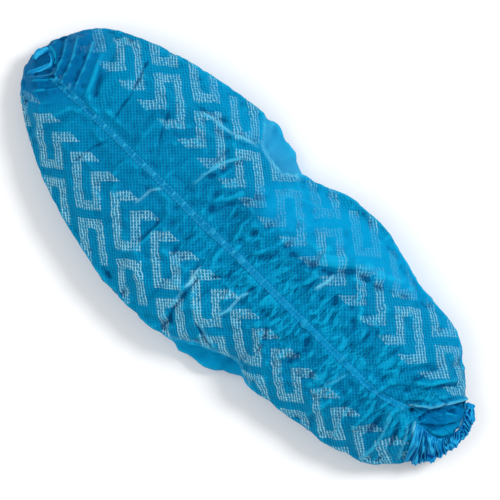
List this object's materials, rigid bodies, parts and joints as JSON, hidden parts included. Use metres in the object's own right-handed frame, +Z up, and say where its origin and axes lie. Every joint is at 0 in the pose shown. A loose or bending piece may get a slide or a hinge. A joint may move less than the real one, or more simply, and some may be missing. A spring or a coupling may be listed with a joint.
{
  "type": "disposable shoe cover",
  "caption": "Hollow gathered non-woven shoe cover with a welded sole seam and an elastic hem, lying empty with its sole up.",
  "frame": {"origin": "middle of the footprint, on the surface that the cover lies on", "axes": "+X along the length towards the toe, +Y across it, +Z up, out of the sole"},
  "size_m": [0.3802, 0.1544, 0.0532],
  "materials": {
    "printed_cloth": "matt spunbonded non-woven, thermally point-bonded, with a pale open anti-slip print",
    "welded_seam": "flat heat weld, slightly glossy, with two rows of small marks",
    "gathered_hem": "matt non-woven gathered over a narrow elastic"
  },
  "bodies": {
    "root": {"left_panel": "printed_cloth", "right_panel": "printed_cloth", "sole_seam": "welded_seam", "left_hem": "gathered_hem", "right_hem": "gathered_hem"}
  },
  "joints": []
}
